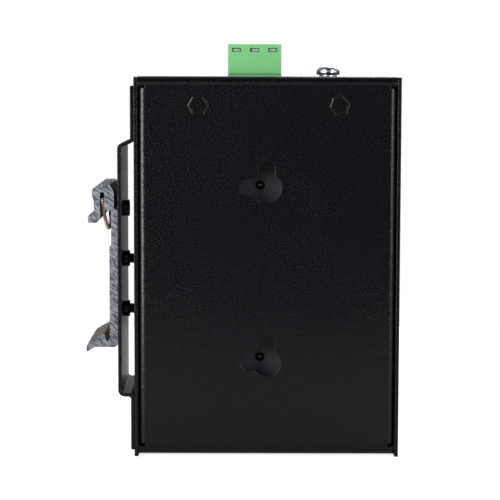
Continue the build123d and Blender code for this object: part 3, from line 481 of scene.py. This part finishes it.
def pan_head_rings(head, tall, length, settings):
    """Pan head screw about +Z, its seat on z = 0: domed face with a crossed recess, round, thread.

    The face falls by 0.2 mm from the middle to the rim, where an arc of 1.3 mm radius turns it into
    the upright side. Its points sink to the recess floor where they are inside an arm of the cross.
    """
    columns, arm, reach, recess = 120, 0.3 * MM, 1.85 * MM, 1.3 * MM
    shank, pitch = 1.74 * MM, 0.6 * MM
    angle = np.linspace(0, 2 * math.pi, columns, endpoint=False)[None, :]
    fall, round_ = 0.2 * MM, 1.3 * MM
    slope = math.atan2(fall, head)
    start = tall - fall - round_ / math.tan((math.pi / 2 + slope) / 2)
    turn = np.linspace(math.pi / 2 - slope, 0, 14)
    arc = np.stack([head - round_ + round_ * np.cos(turn), start + round_ * np.sin(turn)], axis=1)
    inner = np.linspace(0.02, 1, 30)[:-1] * arc[0, 0]
    profile = np.concatenate(
        [np.stack([inner, tall - fall * inner / head], axis=1), arc, [[head, 0.04 * MM]]]
    )
    radii, level = profile[:, :1], profile[:, 1:]
    x, y = radii * np.cos(angle), radii * np.sin(angle)
    inside = 1 - smoothstep(arm, 0.1 * MM, np.minimum(np.abs(x), np.abs(y)))
    inside = inside * (1 - smoothstep(reach, 0.15 * MM, radii))
    floor = tall - recess
    face = np.stack([x, y, level - (level - floor) * inside * (level > floor)], axis=-1)
    neck = np.stack([shank * np.cos(angle), shank * np.sin(angle), 0 * angle], axis=-1)
    thread = thread_rings(shank, settings.depth, pitch, 0.05 * MM, length, columns)
    return np.concatenate([face, neck, thread])


def outward(rings):
    """Rings in reverse order, so that the faces of a stack that runs down point outwards."""
    return rings[::-1]


def standoff(points):
    """Points and faces of one standoff about Y, from the points of its plain solid.

    A head wider than the barrel becomes a hexagon, whose radius at angle t is its half width over
    the cosine of t measured from the nearest flat, with a chamfer round its face.
    """
    columns, head_height, bore_radius, bore_depth = 48, 0.7 * MM, 1.5 * MM, 3 * MM
    chamfer_width, chamfer_depth = 0.32 * MM, 0.1 * MM
    low, high = points.min(0), points.max(0)
    barrel = np.ptp(points[np.abs(points[:, 1] - high[1]) < 1e-6][:, 0]) / 2
    middle = (low + high) / 2
    offset = points - middle
    reach = np.hypot(offset[:, 0], offset[:, 2])
    shoulder = low[1] + head_height
    angle = np.linspace(0, 2 * math.pi, columns, endpoint=False)
    profile = []
    if reach.max() > barrel + 0.1 * MM:
        corner = offset[reach.argmax()]
        start = math.atan2(corner[2], corner[0])
        flat = reach.max() * math.cos(math.pi / 6)
        turn = (angle % (math.pi / 3)) - math.pi / 6
        hexagon = flat / np.cos(turn)
        angle = angle + start
        profile += [
            (low[1], hexagon - chamfer_width), (low[1] + chamfer_depth, hexagon),
            (shoulder, hexagon),
        ]
    else:
        shoulder = low[1]
    round_, bore = np.full(columns, barrel), np.full(columns, bore_radius)
    floor = low[1] + bore_depth
    profile += [(shoulder, round_), (high[1], round_), (high[1], bore), (floor, bore)]
    rings = np.stack(
        [
            np.stack(
                [middle[0] + r * np.cos(angle), 0 * r + y, middle[2] + r * np.sin(angle)], axis=-1,
            )
            for y, r in profile
        ]
    )
    return capped_tube(rings)


class SWITCH_OT_case(bpy.types.Operator):
    """Coat both shells and the rail bracket, and finish the film and rivets behind the keyholes"""

    bl_idname = "switch.case"
    bl_label = "Case and bracket"

    def execute(self, context):
        coat = powder_coat(context.scene.switch_coat)
        dress(coat, "cover_shell", "base_shell", "rail_bracket")
        parts = [standoff(points) for points in islands("board_standoffs")]
        points, faces = joined(parts)
        new_piece("board_standoffs_turned", points, faces, coat, ["board_standoffs"], False)
        # The film looks dull grey black, a little lighter than the coat, as matt film does.
        film = moulded("polycarbonate_film_black", linear("#3a3c44"), 0.3 * MM, 0.45)
        dress(film, "insulating_film")
        # The rivets' nylon is smooth and glossy, which gives their domes a sharp highlight.
        rivet = moulded(
            "nylon_rivet_black", linear("#0f1012"), 0.3 * MM, 0.08, 0.002 * MM, ior=1.53,
        )
        dress(rivet, "film_rivets")
        return {"FINISHED"}


class SWITCH_OT_clip(bpy.types.Operator):
    """Finish the sawn aluminium clip"""

    bl_idname = "switch.clip"
    bl_label = "Rail clip"

    def execute(self, context):
        dress(sawn_aluminium(context.scene.switch_clip), "rail_clip")
        return {"FINISHED"}


class SWITCH_OT_spring(bpy.types.Operator):
    """Wind the bowed coil spring that stands in the clip's slot"""

    bl_idname = "switch.spring"
    bl_label = "Clip spring"

    def execute(self, context):
        settings = context.scene.switch_clip
        low, high = (np.array(corner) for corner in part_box("clip_spring"))
        outer = settings.spring_coil / 2
        wire = settings.spring_wire / 2
        end_margin, spacing, steps_per_turn, columns = 0.3 * MM, 1.12, 12, 8
        half = (high[1] - low[1]) / 2 - end_margin
        foot = np.array([high[0] - 0.1 * MM, 0, low[2] + outer])
        end = np.array([low[0] + outer, 0, high[2] - 0.2 * MM])
        rise = end - foot
        sag = np.linalg.norm(rise)
        rise /= sag
        bow = (half ** 2 + sag ** 2) / (2 * sag)
        reach = math.asin(half / bow)
        turns = int(2 * bow * reach / (2 * wire * spacing))
        steps = turns * steps_per_turn
        along = np.linspace(-reach, reach, steps + 1)[:, None]
        spin = np.linspace(0, turns * 2 * math.pi, steps + 1)
        sideways = np.array([0.0, 1.0, 0.0])
        centre = foot + bow * np.sin(along) * sideways + bow * (1 - np.cos(along)) * rise
        across = np.cross(sideways, rise) + 0 * along
        upward = np.cos(along) * rise - np.sin(along) * sideways
        coil = outer - wire
        offset = across * np.cos(spin)[:, None] + upward * np.sin(spin)[:, None]
        path = centre + coil * offset
        tangent = np.gradient(path, axis=0)
        tangent /= np.linalg.norm(tangent, axis=1)[:, None]
        other = np.cross(tangent, offset)
        angle = np.linspace(0, 2 * math.pi, columns, endpoint=False)
        rings = (
            path[:, None, :]
            + wire * np.cos(angle)[None, :, None] * offset[:, None, :]
            + wire * np.sin(angle)[None, :, None] * other[:, None, :]
        )
        # Drawn spring steel keeps a warm straw colour and soft highlights along the wire.
        steel = plated("spring_steel_straw", settings.spring_colour, 0.5, 2.0)
        points, faces = capped_tube(rings)
        new_piece("clip_spring_coil", points, faces, steel, ["clip_spring"])
        return {"FINISHED"}


class SWITCH_OT_screws(bpy.types.Operator):
    """Cut threads and crossed recesses on the case, bracket and clip screws"""

    bl_idname = "switch.screws"
    bl_label = "Machine screws"

    def execute(self, context):
        settings = context.scene.switch_fasteners
        # Black passivated zinc looks dark grey and metallic, duller than bare steel.
        black = plated("steel_black_zinc", settings.black, 0.38)
        shank = 1.49 * MM
        for node in ("case_screws", "bracket_screws", "clip_screws"):
            parts = []
            for origin, out, head, length in screw_places(node):
                rings = flat_head_rings(head, shank, length, settings)
                side = np.cross(out, (0, 1, 0)) if abs(out[1]) < 0.5 else (1, 0, 0)
                points, faces = capped_tube(outward(rings))
                parts.append((set_down(points, origin, out, side), faces))
            points, faces = joined(parts)
            new_piece(node + "_threaded", points, faces, black, [node])
        return {"FINISHED"}


def islands(name):
    """The separate solids of a CAD node, each as an array of its points."""
    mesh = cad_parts[name].data
    points = np.zeros(len(mesh.vertices) * 3)
    mesh.vertices.foreach_get("co", points)
    points = points.reshape(-1, 3)
    keys = np.round(points / (0.0005 * MM)).astype(np.int64)
    _, same = np.unique(keys, axis=0, return_inverse=True)
    same = same.reshape(-1)
    parent = np.arange(same.max() + 1)
    edges = np.zeros(len(mesh.edges) * 2, np.int64)
    mesh.edges.foreach_get("vertices", edges)
    pairs = same[edges.reshape(-1, 2)]
    while True:
        low = np.minimum(parent[pairs[:, 0]], parent[pairs[:, 1]])
        before = parent.copy()
        np.minimum.at(parent, pairs[:, 0], low)
        np.minimum.at(parent, pairs[:, 1], low)
        parent = parent[parent]
        if (parent == before).all():
            break
    label = parent[same]
    return [points[label == value] for value in np.unique(label)]


def screw_places(name):
    """Origin on the head's face, outward direction, head radius and length of each flat-head screw.

    The widest end of each solid is its head, and the axis is the direction in which both sides
    of the solid are equally wide all round.
    """
    places = []
    for points in islands(name):
        low, high = points.min(0), points.max(0)
        size = high - low
        centre = (low + high) / 2
        for axis in range(3):
            others = [size[i] for i in range(3) if i != axis]
            at_low = points[np.abs(points[:, axis] - low[axis]) < 1e-6]
            at_high = points[np.abs(points[:, axis] - high[axis]) < 1e-6]
            wide = [np.ptp(end, axis=0).max() for end in (at_low, at_high)]
            if abs(others[0] - others[1]) < 0.02 * MM and abs(wide[0] - wide[1]) > 1 * MM:
                break
        out = np.zeros(3)
        out[axis] = 1.0 if wide[1] > wide[0] else -1.0
        origin = centre.copy()
        origin[axis] = high[axis] if wide[1] > wide[0] else low[axis]
        places.append((origin, out, max(wide) / 2, size[axis]))
    return places


class SWITCH_OT_earth(bpy.types.Operator):
    """Form the crossed earth screw with its thread and its split spring washer"""

    bl_idname = "switch.earth"
    bl_label = "Earth screw"

    def execute(self, context):
        settings = context.scene.switch_fasteners
        # Blue passivated zinc is bright and cool, with a sharp highlight on the head's edge.
        zinc = plated("steel_blue_zinc", settings.bright, 0.18, 0.6)
        low, high = (np.array(corner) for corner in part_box("earth_washer"))
        middle = (low + high) / 2
        radius, thick = (high[0] - low[0]) / 2, high[2] - low[2]
        dress(zinc, "earth_nut")
        screw_low, screw_high = (np.array(corner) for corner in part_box("earth_screw"))
        rings = pan_head_rings(
            (screw_high[0] - screw_low[0]) / 2, screw_high[2] - high[2], high[2] - screw_low[2],
            settings,
        )
        points, faces = capped_tube(outward(rings))
        points = points + np.array([middle[0], middle[1], high[2]])
        new_piece("earth_screw_crossed", points, faces, zinc, ["earth_screw"])

        columns, sides, inner, squareness = 160, 24, 1.84 * MM, 0.35
        gap = 0.09 * MM / radius
        angle = np.linspace(gap, 2 * math.pi - gap, columns)[:, None] - math.pi / 2
        turn = np.linspace(0, 2 * math.pi, sides, endpoint=False)[None, :]
        squared = [
            np.sign(wave) * np.abs(wave) ** squareness for wave in (np.cos(turn), np.sin(turn))
        ]
        reach = (inner + radius) / 2 + (radius - inner) / 2 * squared[0]
        step = 0.07 * MM * np.linspace(-1, 1, columns)[:, None] ** 5
        height = middle[2] + np.clip(0.92 * thick / 2 * squared[1] + step, -thick / 2, thick / 2)
        rings = np.stack(
            [
                middle[0] + reach * np.cos(angle), middle[1] + reach * np.sin(angle),
                height + 0 * angle,
            ],
            axis=-1,
        )
        points, faces = capped_tube(outward(rings))
        new_piece("earth_washer_split", points, faces, zinc, ["earth_washer"])
        return {"FINISHED"}


class SWITCH_OT_terminal(bpy.types.Operator):
    """Finish the green terminal, its clamps, contacts and pins"""

    bl_idname = "switch.terminal"
    bl_label = "Screw terminal"

    def execute(self, context):
        settings = context.scene.switch_terminal
        # Green polyamide has a soft satin sheen over a faint moulded grain.
        green = moulded("polyamide_green", settings.colour, settings.texture, 0.42)
        dress(green, "terminal_plug", "terminal_header")
        header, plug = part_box("terminal_header"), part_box("terminal_plug")
        # A line of painted shade round the top of the header, under the plug.
        inset = np.array([0.2, 0.2, 0]) * MM
        low = np.array([header[0][0], header[0][1], header[1][2]]) + inset
        high = np.array([header[1][0], header[1][1], header[1][2] + 0.25 * MM]) - inset
        points, faces = frame_ring(low, high, 0.8 * MM)
        # Painted shade: the same polyamide darker, for the line under the plug and the window frames
        # that lie in shade.
        shade = moulded("polyamide_green_shaded", linear("#3f7a4c"), settings.texture, 0.5)
        new_piece("terminal_shoulder_painted_shade", points, faces, shade, smooth=False)

        # One window for each pole. Its place is the middle of its upper edge.
        pole_pitch, window_drop = 5 * MM, 1.02 * MM
        centre = (plug[0][0] + plug[1][0]) / 2
        windows = [
            np.array([centre + pole * pole_pitch, plug[0][1], plug[1][2] - window_drop])
            for pole in (-1, 0, 1)
        ]
        # Dark green frames inside each window: painted shade of the window's pocket.
        low, high = np.array([-1.3, 0.62, -1.13]) * MM, np.array([1.3, 0.79, 0]) * MM
        points, faces = joined(
            [frame_ring(window + low, window + high, 0.22 * MM, 1) for window in windows]
        )
        new_piece("terminal_window_painted_shade", points, faces, shade, smooth=False)
        low, high = np.array([-1.06, 0.7, -0.9]) * MM, np.array([1.06, 0.79, -0.24]) * MM
        points, faces = joined(
            [frame_ring(window + low, window + high, 0, 1) for window in windows]
        )
        # The clamps' steel, with a painted green reflection of the plastic round the window.
        clamp = plated("steel_clamp_behind_window", linear("#a4bda8"), 0.5)
        new_piece("terminal_window_clamps", points, faces, clamp, smooth=False)
        # Tin on copper looks silvery and slightly dull.
        tin = plated("copper_tinned", linear("#c8c8c6"), 0.3)
        dress(tin, "plug_contacts", "header_pins", "clamp_cages")
        # Bright zinc on the clamp screws is a little bluer than the tin.
        dress(plated("steel_bright_zinc", linear("#c5cad0"), 0.3), "clamp_screws")
        return {"FINISHED"}


class SWITCH_OT_jacks(bpy.types.Operator):
    """Finish the five shielded jacks with their contacts and lamps, and the power lamp"""

    bl_idname = "switch.jacks"
    bl_label = "Jacks and lamps"

    def execute(self, context):
        # Black thermoplastic shows a satin sheen inside the sockets.
        plastic = moulded("thermoplastic_black", linear("#17181a"), 0.2 * MM, 0.4)
        # Nickel on brass sheet looks warm silver and mirrors its neighbours softly.
        skin = plated("brass_nickel_plated", linear("#c9c6bd"), 0.24, 3.0)
        # The gold flash gives the contacts their yellow shine in the dark socket.
        gold = plated("bronze_gold_flashed", linear("#e0b45c"), 0.22, 0.5)
        # Clear acrylic lets light through, so that the lamps look like windows.
        lens = moulded(
            "acrylic_clear", linear("#e9efe6"), 0.5 * MM, 0.12, 0.001 * MM, ior=1.49,
            transmission_weight=0.6,
        )
        for number in range(1, 6):
            dress(plastic, f"jack_housing_{number}")
            dress(skin, f"jack_shield_{number}")
            dress(gold, f"jack_contacts_{number}")
        dress(lens, "jack_lamps", "lamp_rod", "power_lamp")
        return {"FINISHED"}


class SWITCH_OT_board(bpy.types.Operator):
    """Finish the circuit board and what stands on it"""

    bl_idname = "switch.board"
    bl_label = "Circuit board"

    def execute(self, context):
        # Solder mask over glass epoxy is glossy and dark green.
        laminate = moulded("glass_epoxy_green", linear("#1d5b3a"), 0.4 * MM, 0.3, ior=1.55)
        dress(laminate, "circuit_board")
        # Moulding compound is a matt charcoal that sets the chips off the board.
        epoxy = moulded("moulding_compound_black", linear("#1c1c1e"), 0.2 * MM, 0.55)
        dress(
            epoxy, "line_transformers", "switch_chip", "memory_chip", "converter_chip",
            "supply_inductor", "input_choke", "surge_diode", "input_fuse",
        )
        # Drawn aluminium cans are pale and smooth.
        can = plated("aluminium_can", linear("#cfd0d2"), 0.25, 2.0)
        dress(can, "capacitors", "crystal")
        # Zinc on the nuts and board screws is plain light grey.
        zinc = plated("steel_zinc_nut", linear("#c2c6c9"), 0.32)
        dress(zinc, "bracket_nuts", "case_nuts", "board_screws")
        return {"FINISHED"}


class SWITCH_OT_stage(bpy.types.Operator):
    """Set the floor, the soft lamps, the white surroundings and the camera"""

    bl_idname = "switch.stage"
    bl_label = "Stage"

    def execute(self, context):
        settings = context.scene.switch_stage
        scene = context.scene
        scene.view_settings.view_transform = "Standard"
        half, paper, paper_mirrored = 0.24, (0.8, 0.8, 0.8), (0.65, 0.65, 0.65)
        mesh = bpy.data.meshes.new("floor")
        mesh.from_pydata(
            [(-half, -half, 0), (half, -half, 0), (half, half, 0), (-half, half, 0)], [],
            [(0, 1, 2, 3)],
        )
        floor = bpy.data.objects.new("floor", mesh)
        scene.collection.objects.link(floor)
        # White paper that glows for the camera alone, so that it ends in the white background.
        material, tree, shader, _ = new_material("floor_paper_white", paper, roughness=0.9)
        shader.inputs["Specular IOR Level"].default_value = 0.0
        shader.inputs["Emission Color"].default_value = (1, 1, 1, 1)
        rays = add_node(tree, "ShaderNodeLightPath")
        glow = add_node(tree, MAP, (rays.outputs["Is Camera Ray"], 0, 1, 0, 0.75)).outputs[0]
        tree.links.new(glow, shader.inputs["Emission Strength"])
        white = add_node(
            tree, "ShaderNodeMix",
            {0: rays.outputs["Is Glossy Ray"], 6: (*paper, 1), 7: (*paper_mirrored, 1)},
            data_type="RGBA",
        )
        tree.links.new(white.outputs[2], shader.inputs["Base Color"])
        mesh.materials.append(material)

        world = bpy.data.worlds.new("surroundings")
        world.use_nodes = True
        tree = world.node_tree
        tree.nodes.clear()
        rays = add_node(tree, "ShaderNodeLightPath")
        direction = add_node(tree, "ShaderNodeTexCoord").outputs["Generated"]
        sideways, behind, height = (
            add_node(tree, "ShaderNodeSeparateXYZ", (direction,)).outputs[axis] for axis in "XYZ"
        )
        mirrored = add_node(
            tree, "ShaderNodeMath",
            (rays.outputs["Is Glossy Ray"], rays.outputs["Is Transmission Ray"]),
            operation="MAXIMUM",
        ).outputs[0]
        # What mirrors see: a grey back, a soft band above eye level, and a screen on either side.
        backdrop = add_node(tree, MAP, (behind, -0.1, 0.35, 0.0, 0.23)).outputs[0]
        band = tuple(
            add_node(tree, MAP, (height, *spans)).outputs[0]
            for spans in ((0.1, 0.35, 0, 0.5), (0.55, 0.7, 1, 0))
        )
        least = 0.02
        panels = [
            least, add_node(tree, "ShaderNodeMath", band, operation="MULTIPLY").outputs[0],
        ]
        for turn, inner, low, strength in (
            (-1, 0.22, 1, settings.left_panel), (1, 0.3, 0.3, settings.right_panel),
        ):
            aside = add_node(
                tree, "ShaderNodeMath", (sideways, turn), operation="MULTIPLY",
            ).outputs[0]
            edges = [
                add_node(tree, MAP, spans).outputs[0]
                for spans in (
                    (aside, inner, inner + 0.18, 0, 1), (behind, -0.2, 0.0, 1, 0),
                    (height, -0.5, -0.1, 0, 1), (height, 0.85, 0.98, 1, 0),
                    (height, -0.1, 0.12, low, 1),
                )
            ]
            glow = edges[0]
            for edge in (*edges[1:], strength):
                glow = add_node(
                    tree, "ShaderNodeMath", (glow, edge), operation="MULTIPLY",
                ).outputs[0]
            panels.append(glow)
        for panel in panels:
            backdrop = add_node(
                tree, "ShaderNodeMath", (backdrop, panel), operation="MAXIMUM",
            ).outputs[0]
        dim = add_node(
            tree, "ShaderNodeMix", {0: mirrored, 2: settings.ambient, 3: backdrop},
            data_type="FLOAT",
        ).outputs[0]
        sky = add_node(
            tree, "ShaderNodeBackground",
            {
                "Color": (1, 1, 1, 1),
                "Strength": add_node(
                    tree, "ShaderNodeMix", {0: rays.outputs["Is Camera Ray"], 2: dim, 3: 1.0},
                    data_type="FLOAT",
                ).outputs[0],
            },
        )
        add_node(tree, "ShaderNodeOutputWorld", {"Surface": sky.outputs[0]})
        scene.world = world

        # Each lamp's place, the point that it looks at and its width and height, in metres.
        for name, place, target, size, power in (
            ("key_lamp", (-0.46, -0.56, 0.16), (0, 0, 0.06), (0.24, 0.5), settings.key),
            ("fill_lamp", (0.42, -0.55, 0.16), (0, 0, 0.06), (0.16, 0.3), settings.fill),
            ("back_lamp", (0.25, 0.75, 0.5), (0, 0, 0.05), (0.4, 0.4), settings.back),
        ):
            lamp = bpy.data.lights.new(name, "AREA")
            lamp.shape = "RECTANGLE"
            lamp.size, lamp.size_y = size
            lamp.energy = power
            holder = bpy.data.objects.new(name, lamp)
            holder.location = place
            aim = Vector(target) - Vector(place)
            holder.rotation_euler = aim.to_track_quat("-Z", "Y").to_euler()
            scene.collection.objects.link(holder)

        # The camera fitted to the photograph: its place in metres, and its turns in degrees.
        eye = (0.00134, -0.49424, 0.10449)
        yaw, pitch, roll = (math.radians(turn) for turn in (0.08, -5.631, 0.148))
        ahead = Vector(
            (math.sin(yaw) * math.cos(pitch), math.cos(yaw) * math.cos(pitch), math.sin(pitch))
        )
        right = ahead.cross(Vector((0, 0, 1))).normalized()
        up = right.cross(ahead)
        level_right = math.cos(roll) * right + math.sin(roll) * up
        level_up = -math.sin(roll) * right + math.cos(roll) * up
        lens = bpy.data.cameras.new("camera")
        lens.sensor_width = 36
        lens.lens = settings.focal
        lens.clip_start = 0.01
        camera = bpy.data.objects.new("camera", lens)
        turn = Matrix((level_right, level_up, -ahead)).transposed().to_4x4()
        camera.matrix_world = Matrix.Translation(eye) @ turn
        scene.collection.objects.link(camera)
        scene.camera = camera
        return {"FINISHED"}


class SWITCH_PT_panel(bpy.types.Panel):
    """The steps that dress the switch, and the values that they use"""

    bl_idname = "SWITCH_PT_panel"
    bl_label = "Ethernet switch"
    bl_space_type = "VIEW_3D"
    bl_region_type = "UI"
    bl_category = "Switch"

    def draw(self, context):
        for group in GROUPS:
            box = self.layout.box()
            settings = getattr(context.scene, group)
            for key in settings.__annotations__:
                box.prop(settings, key)
        for operator in OPERATORS:
            self.layout.operator(operator.bl_idname)


GROUPS = {
    "switch_coat": CoatSettings,
    "switch_clip": ClipSettings,
    "switch_fasteners": FastenerSettings,
    "switch_terminal": TerminalSettings,
    "switch_stage": StageSettings,
}
OPERATORS = (
    SWITCH_OT_case, SWITCH_OT_clip, SWITCH_OT_spring, SWITCH_OT_screws, SWITCH_OT_earth,
    SWITCH_OT_terminal, SWITCH_OT_jacks, SWITCH_OT_board, SWITCH_OT_stage,
)


def register():
    """Adds the settings, the operators and the panel."""
    for name, group in GROUPS.items():
        bpy.utils.register_class(group)
        setattr(bpy.types.Scene, name, PointerProperty(type=group))
    for entry in (*OPERATORS, SWITCH_PT_panel):
        bpy.utils.register_class(entry)


def unregister():
    """Takes the panel, the operators and the settings away again."""
    for entry in (SWITCH_PT_panel, *reversed(OPERATORS)):
        bpy.utils.unregister_class(entry)
    for name, group in GROUPS.items():
        delattr(bpy.types.Scene, name)
        bpy.utils.unregister_class(group)


def main():
    """Runs every step in order."""
    register()
    for operator in OPERATORS:
        area, step = operator.bl_idname.split(".")
        getattr(getattr(bpy.ops, area), step)()


if __name__ == "__main__":
    main()
